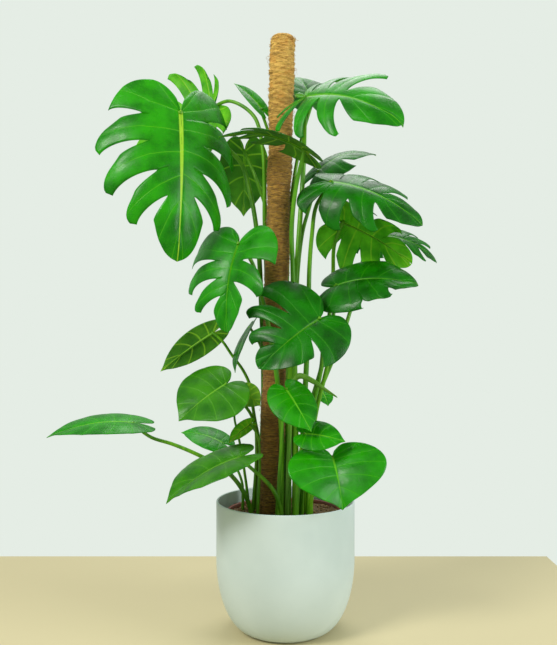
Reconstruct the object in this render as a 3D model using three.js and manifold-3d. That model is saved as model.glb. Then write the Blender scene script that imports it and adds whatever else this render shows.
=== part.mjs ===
// A young monstera trained up a coir pole, in a nursery pot that stands inside a round planter.
// Millimetres, +Z up. The origin is the centre of the planter's foot, and -Y is the plant's front.
import * as THREE from "three";
import { mergeVertices } from "three/addons/utils/BufferGeometryUtils.js";
import Module from "manifold-3d";

const wasm = await Module();
wasm.setup();

// Driving dimensions.
const CLEARANCE = 0.4; // between pieces that touch
const planter = { diameter: 250, height: 233, wall: 3.6, floor: 8, footDiameter: 132, curveHeight: 130 };
const nursery = { height: 205, wall: 1.8, sleeveGap: 17, footGap: 6.9, lip: 3, lipHeight: 8 };
const soil = { drop: 6, mound: 3, socketGap: 1.5 };
const pole = {
  diameter: 42, length: 1065, coreDiameter: 22, cap: 7, lean: 1.5, footX: -32, footY: 4, bareFoot: 35,
};
const leaf = { thickness: 1.4, rootDepth: 32, stalkScale: 1 };

// Levels and radii that follow from them.
const nurseryFloor = planter.floor + CLEARANCE;
const nurseryTop = nurseryFloor + nursery.height;
const nurseryRadius = planter.diameter / 2 - planter.wall - nursery.sleeveGap;
const nurseryFoot = planterRadius(nurseryFloor) - planter.wall - nursery.footGap;
const soilTop = nurseryTop - soil.drop;
const soilFloor = nurseryFloor + nursery.wall + CLEARANCE;
const poleRadius = pole.diameter / 2;
const poleFoot = new THREE.Vector3(pole.footX, pole.footY, soilFloor);
const poleDirection = new THREE.Vector3(Math.sin(radians(pole.lean)), 0, Math.cos(radians(pole.lean)));

const LATHE_SIDES = 40;
const STALK_SIDES = 6;

function radians(degrees) {
  return (degrees * Math.PI) / 180;
}

// The planting plan. Each place is [bearing, reach, height]: the bearing round the pole in degrees (0 is +X
// and 90 is away from the front), the reach from the pole's surface, and the height above the soil.
// A petiole leaves the soil at its root and goes by its `via` places to the base of its blade, and `stalk`
// is its radius at each end. A blade's midrib runs from its base at a bearing, `dip` degrees below the level,
// and the blade is then rolled about it. Its upper face looks up, or outwards where it hangs, before the roll.
// `length` is the midrib's, `arch` is a share of it, and `half` is how wide each half is. Each half rises by
// its `fold`, in degrees, and bends down by its `droop`. `slits` are where the slits between the lobes open,
// as shares of the outline, and a `deep` share under 1 takes them closer to the midrib. Pairs are
// [left half, right half], as seen on the upper face with the tip pointing away.
const plan = [
  { id: "01", root: [128, 16],
    via: [[126, 10, 200], [150, 12, 400], [158, 24, 530], [154, 68, 655], [178, 122, 696]],
    stalk: [6, 3.2], base: [203, 167, 709], bearing: 265, dip: 84, roll: -23, length: 260, half: [150, 150],
    arch: 0.08, fold: [-15, 9], droop: [45, 49], slits: [[0.43, 0.55, 0.66, 0.76], [0.44, 0.56, 0.67, 0.77]] },
  { id: "02", root: [106, 16],
    via: [[104, 10, 200], [125, 9, 400], [146, 9, 530], [158, 16, 675], [156, 52, 750]],
    stalk: [5.5, 3], base: [150, 134, 751], bearing: 165, dip: 25, roll: 105, length: 170, half: [115, 110],
    arch: 0.08, fold: [5, 5], droop: [25, 40], slits: [[0.3, 0.44, 0.58, 0.72], [0.42, 0.55, 0.68, 0.8]] },
  { id: "03", root: [302, 14], via: [[300, 13, 130], [278, 14, 250], [242, 26, 380]],
    stalk: [5.5, 3], base: [227, 78, 482], bearing: 227, dip: 80, roll: -12, length: 155, half: [96, 124],
    arch: 0.1, fold: [25, 15], droop: [39, 60], slits: [[0.55, 0.7], [0.55, 0.68, 0.8]] },
  { id: "04", root: [308, 50], via: [[318, 52, 140], [322, 82, 263]],
    stalk: [5.5, 3], base: [304, 112, 353], bearing: 195, dip: 38, roll: -60, length: 135, half: [85, 120],
    arch: 0.1, fold: [30, 5], droop: [60, 30], slits: [[0.6], [0.58, 0.7, 0.82]] },
  { id: "05", root: [332, 14], via: [[325, 14, 155], [322, 18, 333], [325, 22, 440], [338, 26, 680]],
    stalk: [6.5, 3.4], base: [294, 77, 731], bearing: 330, dip: 20, roll: 42, length: 190, half: [120, 88],
    deep: 0.4, arch: 0.12, fold: [10, 0], droop: [42, 50],
    slits: [[0.28, 0.42, 0.55, 0.68], [0.28, 0.42, 0.55, 0.68]] },
  { id: "06", root: [322, 34], via: [[316, 36, 141], [304, 34, 386], [297, 36, 563]],
    stalk: [6, 3.2], base: [302, 58, 645], bearing: 180, dip: -9, roll: 10, length: 150, half: [58, 38],
    arch: 0.12, fold: [0, 0], droop: [22, 35], slits: [[0.6, 0.76], [0.56, 0.7, 0.82]] },
  { id: "07", root: [340, 36], via: [[330, 42, 156], [330, 46, 334], [328, 48, 470], [326, 62, 560]],
    stalk: [6, 3], base: [329, 85, 593], bearing: 345, dip: 27, roll: 40, length: 178, half: [90, 90],
    arch: 0.1, fold: [0, 0], droop: [45, 70], slits: [[0.45, 0.6, 0.75], [0.42, 0.58, 0.72]] },
  { id: "08", root: [15, 26], via: [[22, 21, 150], [28, 20, 333], [32, 30, 500]],
    stalk: [5.5, 3], base: [46, 84, 634], bearing: 22, dip: -18, roll: 22, length: 132, half: [50, 50],
    arch: 0.14, fold: [5, 5], droop: [40, 40], slits: [[0.62], [0.62]] },
  { id: "09", root: [350, 52], via: [[352, 46, 178], [5, 70, 288], [20, 90, 430]],
    stalk: [5.5, 3], base: [2, 98, 528], bearing: 345, dip: 32, roll: -60, length: 146, half: [92, 92],
    arch: 0.08, fold: [5, 0], droop: [30, 70], slits: [[0.45, 0.6, 0.75], [0.45, 0.6, 0.75]] },
  { id: "10", root: [5, 44], via: [[6, 47, 165], [10, 106, 325], [20, 144, 430]],
    stalk: [5, 2.8], base: [26, 181, 513], bearing: 355, dip: 23, roll: 37, length: 133, half: [68, 64],
    arch: 0.15, fold: [5, 5], droop: [40, 40], slits: [[0.4, 0.55, 0.7, 0.82], [0.4, 0.55, 0.7, 0.82]] },
  { id: "11", root: [333, 54], via: [[335, 58, 157], [340, 84, 298]],
    stalk: [5, 2.8], base: [342, 90, 412], bearing: 344, dip: 0, roll: 38, length: 145, half: [82, 76],
    arch: 0.1, fold: [15, 15], droop: [50, 50], slits: [[0.7], [0.6, 0.75]] },
  { id: "12", root: [84, 16], via: [[82, 10, 200], [100, 9, 400], [114, 18, 530]],
    stalk: [5, 2.8], base: [134, 77, 671], bearing: 95, dip: 75, roll: 2, length: 124, half: [48, 48],
    arch: 0.08, fold: [8, 8], droop: [30, 30] },
  { id: "13", root: [150, 16], via: [[150, 12, 110], [168, 14, 165], [200, 40, 205]],
    stalk: [4, 2.4], base: [218, 84, 240], bearing: 202, dip: 36, roll: -40, length: 105, half: [75, 75],
    arch: 0.06, fold: [25, 5], droop: [35, 35] },
  { id: "14", root: [283, 30], via: [[284, 42, 120]],
    stalk: [3.6, 2.2], base: [284, 68, 232], bearing: 315, dip: 49, roll: 34, length: 89, half: [42, 42],
    arch: 0.06, fold: [-10, 5], droop: [22, 25] },
  { id: "15", root: [320, 66], via: [[318, 80, 60]],
    stalk: [4.5, 2.8], base: [316, 122, 118], bearing: 288, dip: 60, roll: 5, length: 92, half: [86, 86],
    arch: 0.08, fold: [30, 15], droop: [20, 15] },
  { id: "16", root: [300, 66], via: [[300, 72, 80]],
    stalk: [3.4, 2], base: [298, 94, 158], bearing: 348, dip: 9, roll: 42, length: 71, half: [33, 33],
    arch: 0.06, fold: [8, 8], droop: [25, 25] },
  { id: "17", root: [190, 14], via: [[192, 48, 66], [191, 130, 118]],
    stalk: [4.6, 2.6], base: [191, 228, 170], bearing: 190, dip: 9, roll: -14, length: 151, half: [50, 50],
    arch: 0.08, fold: [8, 8], droop: [25, 25] },
  { id: "18", root: [288, 46], via: [[274, 52, 55]],
    stalk: [4.4, 2.6], base: [240, 88, 117], bearing: 196, dip: 30, roll: -14, length: 145, half: [75, 75],
    arch: 0.08, fold: [25, 15], droop: [30, 45] },
  { id: "19", root: [110, 38], via: [[118, 33, 120], [143, 25, 180], [158, 30, 240], [168, 64, 292]],
    stalk: [4, 2.2], base: [174, 94, 327], bearing: 192, dip: 36, roll: 80, length: 118, half: [28, 28],
    arch: 0.08, fold: [10, 10], droop: [20, 20] },
  { id: "20", root: [92, 38], via: [[96, 28, 130], [120, 20, 260]],
    stalk: [3.6, 2.2], base: [162, 30, 336], bearing: 239, dip: 60, roll: 40, length: 92, half: [30, 30],
    arch: 0.06, fold: [10, 10], droop: [20, 20] },
  { id: "21", root: [160, 34], via: [[158, 40, 60]],
    stalk: [3, 1.8], base: [159, 78, 122], bearing: 166, dip: -11, roll: -22, length: 84, half: [36, 36],
    arch: 0.09, fold: [8, 8], droop: [25, 25] },
  { id: "22", root: [225, 12], via: [[222, 8, 70], [215, 8, 125]],
    stalk: [2.8, 1.6], base: [200, 23, 163], bearing: 195, dip: 40, roll: 47, length: 51, half: [22, 22],
    arch: 0.06, fold: [12, 12], droop: [20, 20] },
  { id: "23", root: [130, 44], via: [[150, 46, 110], [172, 52, 190]],
    stalk: [3, 1.5], base: [180, 35, 222], bearing: 0, dip: 40, roll: -78, length: 42, half: [23, 23],
    arch: 0.03, fold: [10, 10], droop: [20, 20] },
  { id: "24", root: [40, 16], via: [[42, 10, 200], [50, 9, 400], [48, 12, 560], [40, 28, 680]],
    stalk: [5, 2.8], base: [39, 52, 754], bearing: 113, dip: -50, roll: -2, length: 85, half: [55, 55],
    arch: 0.06, fold: [10, 10], droop: [20, 20] },
  { id: "25", root: [62, 18], via: [[62, 9, 200], [76, 9, 400], [88, 10, 540], [105, 14, 660]],
    stalk: [4.4, 2.6], base: [144, 23, 739], bearing: 151, dip: -43, roll: -29, length: 83, half: [17, 17],
    arch: 0.06, fold: [15, 15], droop: [20, 20] },
  { id: "26", root: [25, 56], via: [[20, 52, 110]],
    stalk: [3, 1.8], base: [22, 76, 217], bearing: 304, dip: 53, roll: 2, length: 31, half: [19, 19],
    arch: 0.06, fold: [8, 8], droop: [20, 20] },
];

// The newest leaf, still rolled into a spike that carries straight on from its own petiole.
const newLeaf = { root: [305, 30], via: [[304, 33, 139], [305, 49, 252]], tip: [322, 118, 218],
  stalk: 3.6, spike: 5.4, point: 0.7, swell: 0.72 };

// Half of a blade's outline, from the petiole round the ear to the tip: [forward, sideways], as shares of the
// length and of half the width. A blade with slits is broader towards its tip than a whole one.
const OUTLINES = {
  whole: [[0, 0], [-0.13, 0.08], [-0.23, 0.3], [-0.17, 0.64], [0.04, 0.92], [0.3, 1], [0.56, 0.85], [0.78, 0.5],
    [0.91, 0.17], [1, 0]],
  split: [[0, 0], [-0.13, 0.08], [-0.23, 0.3], [-0.18, 0.63], [0.03, 0.91], [0.34, 1], [0.62, 0.8], [0.82, 0.46],
    [0.95, 0.18], [1, 0]],
};

// Side veins that meet the outline before `fan` all leave the petiole, and the rest leave the midrib, each
// the more steeply the nearer it is to the tip.
const VEINS = { fan: 0.38, last: 0.86, steeper: 1.1, bow: 0.18 };
const SLIT_GAP = 0.06; // a slit's opening at the outline, as a share of the outline
const EAR_COLUMNS = 4; // strips in the lobe beside the petiole
const LOBE_COLUMNS = 2; // strips in every other lobe
const PLAIN_COLUMNS = 9; // strips in each half of a blade with no slits
const SAME = 1e-6; // shares closer than this are one place

const outlines = Object.fromEntries(
  Object.entries(OUTLINES).map(([kind, places]) => [
    kind,
    new THREE.SplineCurve(places.map(([forward, sideways]) => new THREE.Vector2(forward, sideways))),
  ]),
);

// How far along the midrib the vein that meets the outline here leaves it.
function veinStart(along) {
  return VEINS.last * Math.pow(Math.max(0, (along - VEINS.fan) / (1 - VEINS.fan)), VEINS.steeper);
}

// A place on the blade in its own flat plane: forward along the midrib and out from it, in shares as OUTLINES.
function flatPlace(row, along, out) {
  const rim = outlines[row.slits ? "split" : "whole"].getPoint(along);
  const start = veinStart(along);
  const bow = VEINS.bow * rim.y * out * (1 - out) * Math.min(1, start * 4);
  return [start + (rim.x - start) * out - bow, rim.y * out];
}

// How far out from the midrib a slit at this place on the outline starts: later ones cut deeper.
function slitStart(along, deep = 1) {
  return (0.5 - 0.2 * along) * deep;
}

function place([bearing, reach, height]) {
  const up = (soilTop + height - poleFoot.z) / poleDirection.z;
  const axis = poleFoot.clone().addScaledVector(poleDirection, up);
  const out = poleRadius + reach;
  return axis.add(new THREE.Vector3(out * Math.cos(radians(bearing)), out * Math.sin(radians(bearing)), 0));
}

// The blade's own axes: along its midrib, out of its upper face, and to its right.
function bladeAxes({ bearing, dip, roll }) {
  const [b, d] = [radians(bearing), radians(dip)];
  const along = new THREE.Vector3(Math.cos(b) * Math.cos(d), Math.sin(b) * Math.cos(d), -Math.sin(d));
  const face = new THREE.Vector3(Math.cos(b) * Math.sin(d), Math.sin(b) * Math.sin(d), Math.cos(d));
  face.applyAxisAngle(along, radians(roll));
  return { along, face, right: along.clone().cross(face) };
}

// Bends a flat place into its real one: the midrib arches, and each half rises at its fold and then droops.
function bentPlace(row, axes, side, forward, sideways) {
  const half = row.half[side];
  const fold = radians(row.fold[side]);
  const turn = radians(row.droop[side]) / half;
  const run = sideways * half;
  const across = (Math.sin(fold) - Math.sin(fold - turn * run)) / turn;
  const lift = (Math.cos(fold - turn * run) - Math.cos(fold)) / turn;
  const arch = 4 * row.arch * row.length * forward * (1 - forward);
  return place(row.base)
    .addScaledVector(axes.along, forward * row.length)
    .addScaledVector(axes.right, side ? across : -across)
    .addScaledVector(axes.face, lift + arch);
}

// The lobes of both halves: where each starts and ends on the outline, how much its slits take off it before
// and after, and how many strips it has.
function lobesOf(row) {
  return [0, 1].flatMap((side) => {
    const breaks = [0, ...(row.slits ? row.slits[side] : []), 1];
    return breaks.slice(1).map((end, i) => ({
      side,
      start: breaks[i],
      end,
      gapBefore: i > 0 ? SLIT_GAP / 2 : 0,
      gapAfter: end < 1 ? SLIT_GAP / 2 : 0,
      columns: breaks.length === 2 ? PLAIN_COLUMNS : i === 0 ? EAR_COLUMNS : LOBE_COLUMNS,
    }));
  });
}

// The blade's middle surface as triangles, in strips that run out along the veins. Both halves have a corner
// at every place where a strip meets the midrib.
function bladeSurface(row) {
  const axes = bladeAxes(row);
  const lobes = lobesOf(row);
  const middleOf = (lobe, column) => lobe.start + ((lobe.end - lobe.start) * column) / lobe.columns;
  const joints = lobes.flatMap((lobe) =>
    Array.from({ length: lobe.columns + 1 }, (_, column) => veinStart(middleOf(lobe, column))),
  );
  joints.sort((a, b) => b - a);
  const corners = [];
  for (const lobe of lobes) {
    const spot = (column, step) => {
      const middle = middleOf(lobe, column);
      const share = column / lobe.columns;
      const cut = slitStart(middle, row.deep);
      const out = [0, cut, (1 + cut) / 2, 1][step];
      const open = Math.pow(Math.max(0, (out - cut) / (1 - cut)), 0.6);
      const along = middle + open * (lobe.gapBefore * (1 - share) - lobe.gapAfter * share);
      return bentPlace(row, axes, lobe.side, ...flatPlace(row, along, out));
    };
    for (let column = 0; column < lobe.columns; column++) {
      const [near, far] = [column, column + 1].map((edge) => veinStart(middleOf(lobe, edge)));
      const between = joints
        .filter((joint) => joint > near + SAME && joint < far - SAME)
        .map((joint) => bentPlace(row, axes, lobe.side, joint, 0));
      for (let step = 0; step < 3; step++) {
        const outer = [spot(column, step + 1), spot(column + 1, step + 1)];
        const inner = [spot(column + 1, step), ...(step === 0 ? between : []), spot(column, step)];
        const ring = [...outer, ...inner];
        for (let i = 1; i < ring.length - 1; i++) {
          const triangle = [ring[0], ring[i], ring[i + 1]];
          corners.push(...(lobe.side === 1 ? triangle.reverse() : triangle));
        }
      }
    }
  }
  return corners;
}

// A closed plate of even thickness about a surface given as loose triangles.
function thickened(corners, thickness) {
  const surface = mergeVertices(new THREE.BufferGeometry().setFromPoints(corners), 0.01);
  const used = Array.from(surface.index.array);
  const faces = [];
  for (let i = 0; i < used.length; i += 3) {
    const [a, b, c] = used.slice(i, i + 3);
    if (a !== b && b !== c && c !== a) faces.push([a, b, c]);
  }
  surface.setIndex(faces.flat());
  surface.computeVertexNormals();
  const { position, normal } = surface.attributes;
  const count = position.count;
  const points = new Float32Array(count * 6);
  for (let i = 0; i < count; i++)
    for (let k = 0; k < 3; k++) {
      const [middle, out] = [position.array[3 * i + k], (normal.array[3 * i + k] * thickness) / 2];
      points[3 * i + k] = middle + out;
      points[3 * (count + i) + k] = middle - out;
    }
  const directed = new Set(faces.flatMap(([a, b, c]) => [`${a},${b}`, `${b},${c}`, `${c},${a}`]));
  const index = [];
  for (const [a, b, c] of faces) {
    index.push(a, b, c, count + c, count + b, count + a);
    for (const [from, to] of [[a, b], [b, c], [c, a]])
      if (!directed.has(`${to},${from}`)) index.push(to, from, count + from, to, count + from, count + to);
  }
  const plate = new THREE.BufferGeometry();
  plate.setAttribute("position", new THREE.BufferAttribute(points, 3));
  plate.setIndex(index);
  return plate;
}

// A round tube along a curve, closed at both ends. Its radius follows from the share of the way along.
function roundTube(curve, radiusAt, steps) {
  const frames = curve.computeFrenetFrames(steps, false);
  const points = [];
  for (let i = 0; i <= steps; i++) {
    const centre = curve.getPointAt(i / steps);
    const radius = radiusAt(i / steps);
    for (let k = 0; k < STALK_SIDES; k++) {
      const turn = (2 * Math.PI * k) / STALK_SIDES;
      points.push(
        centre
          .clone()
          .addScaledVector(frames.normals[i], radius * Math.cos(turn))
          .addScaledVector(frames.binormals[i], radius * Math.sin(turn)),
      );
    }
  }
  const first = points.length;
  points.push(curve.getPointAt(0), curve.getPointAt(1));
  const index = [];
  for (let k = 0; k < STALK_SIDES; k++) {
    const next = (k + 1) % STALK_SIDES;
    for (let i = 0; i < steps; i++) {
      const [a, b] = [i * STALK_SIDES + k, i * STALK_SIDES + next];
      index.push(a, b, b + STALK_SIDES, a, b + STALK_SIDES, a + STALK_SIDES);
    }
    index.push(first, next, k, first + 1, steps * STALK_SIDES + k, steps * STALK_SIDES + next);
  }
  const tube = new THREE.BufferGeometry().setFromPoints(points);
  tube.setIndex(index);
  return tube;
}

// A petiole's line: straight up out of the soil, through its places, and up to the underside of its blade.
function petioleCurve(row) {
  const { along, face } = bladeAxes(row);
  const thin = row.stalk[1] * leaf.stalkScale;
  const end = place(row.base).addScaledVector(face, -(leaf.thickness / 2 + CLEARANCE + thin));
  const approach = end.clone().addScaledVector(face, -5 * thin).addScaledVector(along, -1.5 * thin);
  return new THREE.CatmullRomCurve3(
    [place([...row.root, -leaf.rootDepth]), place([...row.root, 0]), ...row.via.map(place), approach, end],
    false,
    "centripetal",
  );
}

function stalkSteps(row) {
  return 4 + 2 * row.via.length;
}

function petiole(row) {
  const [thick, thin] = row.stalk.map((radius) => radius * leaf.stalkScale);
  return roundTube(petioleCurve(row), (share) => thick + (thin - thick) * share, stalkSteps(row));
}

function rolledLeaf() {
  const route = [place([...newLeaf.root, -leaf.rootDepth]), place([...newLeaf.root, 0])];
  const curve = new THREE.CatmullRomCurve3(
    [...route, ...newLeaf.via.map(place), place(newLeaf.tip)],
    false,
    "centripetal",
  );
  const radiusAt = (share) => {
    const past = Math.max(0, (share - newLeaf.swell) / (1 - newLeaf.swell));
    const rolled = newLeaf.spike * Math.sin(Math.PI * Math.pow(past, 0.6));
    return Math.max(newLeaf.stalk * (1 - past), rolled, newLeaf.point) * leaf.stalkScale;
  };
  return roundTube(curve, radiusAt, 14);
}

function lathe(profile) {
  const points = profile.map(([radius, height]) => new THREE.Vector2(radius, height));
  return new THREE.LatheGeometry(points, LATHE_SIDES).rotateX(Math.PI / 2);
}

// The planter's outside: upright, then one quarter of an ellipse in to the foot.
function planterRadius(height) {
  const foot = planter.footDiameter / 2;
  const fall = Math.max(0, 1 - height / planter.curveHeight);
  return foot + (planter.diameter / 2 - foot) * Math.sqrt(1 - fall * fall);
}

function planterShell() {
  const rings = [0, 0.04, 0.12, 0.26, 0.45, 0.7, 1].map((share) => share * planter.curveHeight);
  const outside = [...rings, planter.height].map((height) => [planterRadius(height), height]);
  const inside = outside
    .filter(([, height]) => height > planter.floor)
    .map(([radius, height]) => [radius - planter.wall, height])
    .reverse();
  const floorRadius = planterRadius(planter.floor) - planter.wall;
  return lathe([[0, 0], ...outside, ...inside, [floorRadius, planter.floor], [0, planter.floor]]);
}

function nurseryPot() {
  const { wall, lip, lipHeight } = nursery;
  return lathe([
    [0, nurseryFloor],
    [nurseryFoot, nurseryFloor],
    [nurseryRadius, nurseryTop - lipHeight],
    [nurseryRadius + lip, nurseryTop - lipHeight],
    [nurseryRadius + lip, nurseryTop],
    [nurseryRadius - wall, nurseryTop],
    [nurseryRadius - wall, nurseryTop - lipHeight],
    [nurseryFoot - wall, nurseryFloor + wall],
    [0, nurseryFloor + wall],
  ]);
}

const colours = {
  planter: [0xd9e3dd, 0.55],
  nursery: [0x9a4f38, 0.6],
  soil: [0x4a3526, 0.95],
  coir: [0xa8763c, 0.95],
  wood: [0xc19a6b, 0.8],
  blade: [0x2a7a1c, 0.35],
  petiole: [0x4e8f28, 0.45],
};

function piece(name, finish, geometry) {
  const [color, roughness] = colours[finish];
  const mesh = new THREE.Mesh(geometry, new THREE.MeshStandardMaterial({ color, roughness, metalness: 0 }));
  mesh.name = name;
  return mesh;
}

// A three.js geometry as a manifold-3d solid, and back again.
function solidOf(geometry) {
  const bare = new THREE.BufferGeometry().setAttribute("position", geometry.getAttribute("position"));
  bare.setIndex(geometry.index);
  const merged = mergeVertices(bare, 1e-3);
  return new wasm.Manifold(
    new wasm.Mesh({
      numProp: 3,
      vertProperties: merged.attributes.position.array,
      triVerts: new Uint32Array(merged.index.array),
    }),
  );
}

function geometryOf(solid) {
  const { vertProperties, triVerts } = solid.getMesh();
  const geometry = new THREE.BufferGeometry();
  geometry.setAttribute("position", new THREE.BufferAttribute(new Float32Array(vertProperties), 3));
  return geometry.setIndex(Array.from(triVerts));
}

// Turns a lathe made up the Z axis to stand on the pole's leaning line.
function alongPole(geometry) {
  const turn = new THREE.Quaternion().setFromUnitVectors(new THREE.Vector3(0, 0, 1), poleDirection);
  return geometry.applyQuaternion(turn).translate(poleFoot.x, poleFoot.y, poleFoot.z);
}

function coirWrap() {
  const bore = pole.coreDiameter / 2 + CLEARANCE;
  const start = pole.bareFoot;
  const end = pole.length;
  return alongPole(
    lathe([
      [bore, start],
      [poleRadius - 1, start],
      [poleRadius, start + 4],
      [poleRadius, end - 6],
      [poleRadius - 5, end],
      [0, end],
      [0, end - pole.cap],
      [bore, end - pole.cap],
      [bore, start],
    ]),
  );
}

function poleCore() {
  const top = pole.length - pole.cap - CLEARANCE;
  const radius = pole.coreDiameter / 2;
  return alongPole(lathe([[0, 0], [radius, 0], [radius, top], [0, top]]));
}

// The compost, with a socket for the pole and one for each petiole.
function compost() {
  const inner = nurseryRadius - nursery.wall - CLEARANCE;
  const base = nurseryFoot - nursery.wall - CLEARANCE;
  const straight = nursery.lipHeight - soil.drop;
  const body = lathe([
    [0, soilFloor],
    [base, soilFloor],
    [inner, soilTop - straight],
    [inner, soilTop],
    [inner * 0.6, soilTop + soil.mound * 0.6],
    [0, soilTop + soil.mound],
  ]);
  let solid = solidOf(body);
  const above = soilTop + soil.mound + 10 - poleFoot.z;
  const coirHole = poleRadius + CLEARANCE;
  const coreHole = pole.coreDiameter / 2 + CLEARANCE;
  const coirFoot = pole.bareFoot - CLEARANCE;
  const poleHole = alongPole(
    lathe([
      [0, -CLEARANCE],
      [coreHole, -CLEARANCE],
      [coreHole, coirFoot],
      [coirHole, coirFoot],
      [coirHole, above],
      [0, above],
    ]),
  );
  solid = solid.subtract(solidOf(poleHole));
  for (const { root, stalk } of [...plan, { root: newLeaf.root, stalk: [newLeaf.stalk] }]) {
    const across = (stalk[0] * leaf.stalkScale + soil.socketGap) / Math.cos(Math.PI / STALK_SIDES);
    const deep = place([...root, -leaf.rootDepth - CLEARANCE]);
    const socket = new THREE.LineCurve3(deep, place([...root, soil.mound + 10]));
    solid = solid.subtract(solidOf(roundTube(socket, () => across, 1)));
  }
  return geometryOf(solid);
}

const plant = new THREE.Group();
plant.add(piece("planter", "planter", planterShell()));
plant.add(piece("nursery_pot", "nursery", nurseryPot()));
plant.add(piece("soil", "soil", compost()));
plant.add(piece("pole_core", "wood", poleCore()));
plant.add(piece("coir_wrap", "coir", coirWrap()));
for (const row of plan) {
  plant.add(piece(`leaf_${row.id}_blade`, "blade", thickened(bladeSurface(row), leaf.thickness)));
  plant.add(piece(`leaf_${row.id}_petiole`, "petiole", petiole(row)));
}
plant.add(piece("new_leaf", "petiole", rolledLeaf()));

export default plant;
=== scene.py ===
import math
import random

import bmesh
import bpy
from mathutils import Matrix, Vector, noise


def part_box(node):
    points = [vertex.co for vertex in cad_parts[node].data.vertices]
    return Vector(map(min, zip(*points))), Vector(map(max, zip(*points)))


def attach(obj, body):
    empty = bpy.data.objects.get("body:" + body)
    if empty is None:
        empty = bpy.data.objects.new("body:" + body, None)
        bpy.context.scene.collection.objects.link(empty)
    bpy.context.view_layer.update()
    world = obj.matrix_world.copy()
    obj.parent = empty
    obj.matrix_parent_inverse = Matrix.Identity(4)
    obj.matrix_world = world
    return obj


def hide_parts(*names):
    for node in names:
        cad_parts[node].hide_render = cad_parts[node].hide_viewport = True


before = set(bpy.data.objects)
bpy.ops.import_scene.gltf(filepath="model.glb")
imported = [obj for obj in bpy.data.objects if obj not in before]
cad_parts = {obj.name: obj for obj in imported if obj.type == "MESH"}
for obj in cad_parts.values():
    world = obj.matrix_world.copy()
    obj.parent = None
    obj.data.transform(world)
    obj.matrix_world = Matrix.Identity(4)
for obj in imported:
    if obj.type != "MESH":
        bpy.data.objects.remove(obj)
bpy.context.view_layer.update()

MM = 0.001
UP = Vector((0, 0, 1))


# ---- Small tools for shapes ----


def spline(points, share):
    """A place on the smooth curve through the points, a share of the way along it."""
    last = len(points) - 1
    at = min(max(share, 0), 1 - 1e-9) * last
    i = int(at)
    t = at - i
    before, here = points[max(i - 1, 0)], points[i]
    after, beyond = points[i + 1], points[min(i + 2, last)]
    leaving, arriving = (after - before) / 2, (beyond - here) / 2
    cubic = 2 * here - 2 * after + leaving + arriving
    square = 3 * after - 3 * here - 2 * leaving - arriving
    return cubic * t**3 + square * t**2 + leaving * t + here


def ramp(value, low, high):
    """0 below low, 1 above high, and a smooth rise between them."""
    t = min(max((value - low) / (high - low), 0), 1)
    return t * t * (3 - 2 * t)


def wobble(place, size, seed):
    """Smooth noise from about -1 to 1 that changes over this size."""
    return noise.noise(Vector(place) / size + Vector((seed * 7.3, seed * 3.1, seed * 1.7)))


def add_piece(name, mesh, slot, finishes, *nodes):
    """Puts a mesh in the scene as a piece that stands for these CAD nodes."""
    mesh.name = name
    piece = bpy.data.objects.new(name, mesh)
    bpy.context.scene.collection.objects.link(piece)
    for finish in finishes:
        mesh.materials.append(finish)
    mesh.polygons.foreach_set("use_smooth", [True] * len(mesh.polygons))
    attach(piece, "root")
    if nodes:
        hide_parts(*nodes)
    return piece


def mesh_from(bm, name):
    """The bmesh as a named mesh, and the bmesh freed."""
    mesh = bpy.data.meshes.new(name)
    bm.to_mesh(mesh)
    bm.free()
    return mesh


def tubes(paths, roundness):
    """One mesh of round tubes. Each path is a list of places and a list of radii."""
    curve = bpy.data.curves.new("tubes", "CURVE")
    curve.dimensions = "3D"
    curve.bevel_depth = 1
    curve.bevel_resolution = roundness
    curve.use_fill_caps = True
    for places, radii in paths:
        line = curve.splines.new("POLY")
        line.points.add(len(places) - 1)
        for point, place, radius in zip(line.points, places, radii):
            point.co = (*place, 1)
            point.radius = radius
    holder = bpy.data.objects.new("tubes", curve)
    mesh = bpy.data.meshes.new_from_object(holder)
    bpy.data.objects.remove(holder)
    return mesh


def spun(profile, sides, name):
    """A shell of revolution about the Z axis from a profile of [radius, height] pairs."""
    bm = bmesh.new()
    line = [bm.verts.new((radius, 0, height)) for radius, height in profile]
    edges = [bm.edges.new(pair) for pair in zip(line, line[1:])]
    bmesh.ops.spin(
        bm, geom=line + edges, axis=UP, cent=(0, 0, 0), angle=2 * math.pi, steps=sides, use_merge=True
    )
    bmesh.ops.remove_doubles(bm, verts=bm.verts, dist=1e-6)
    bmesh.ops.recalc_face_normals(bm, faces=bm.faces)
    return mesh_from(bm, name)


# ---- Small tools for materials ----


def srgb(red, green, blue):
    """A colour given as screen values from 0 to 255."""
    def linear(value):
        share = value / 255
        return share / 12.92 if share <= 0.04045 else ((share + 0.055) / 1.055) ** 2.4
    return (linear(red), linear(green), linear(blue), 1)


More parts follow.
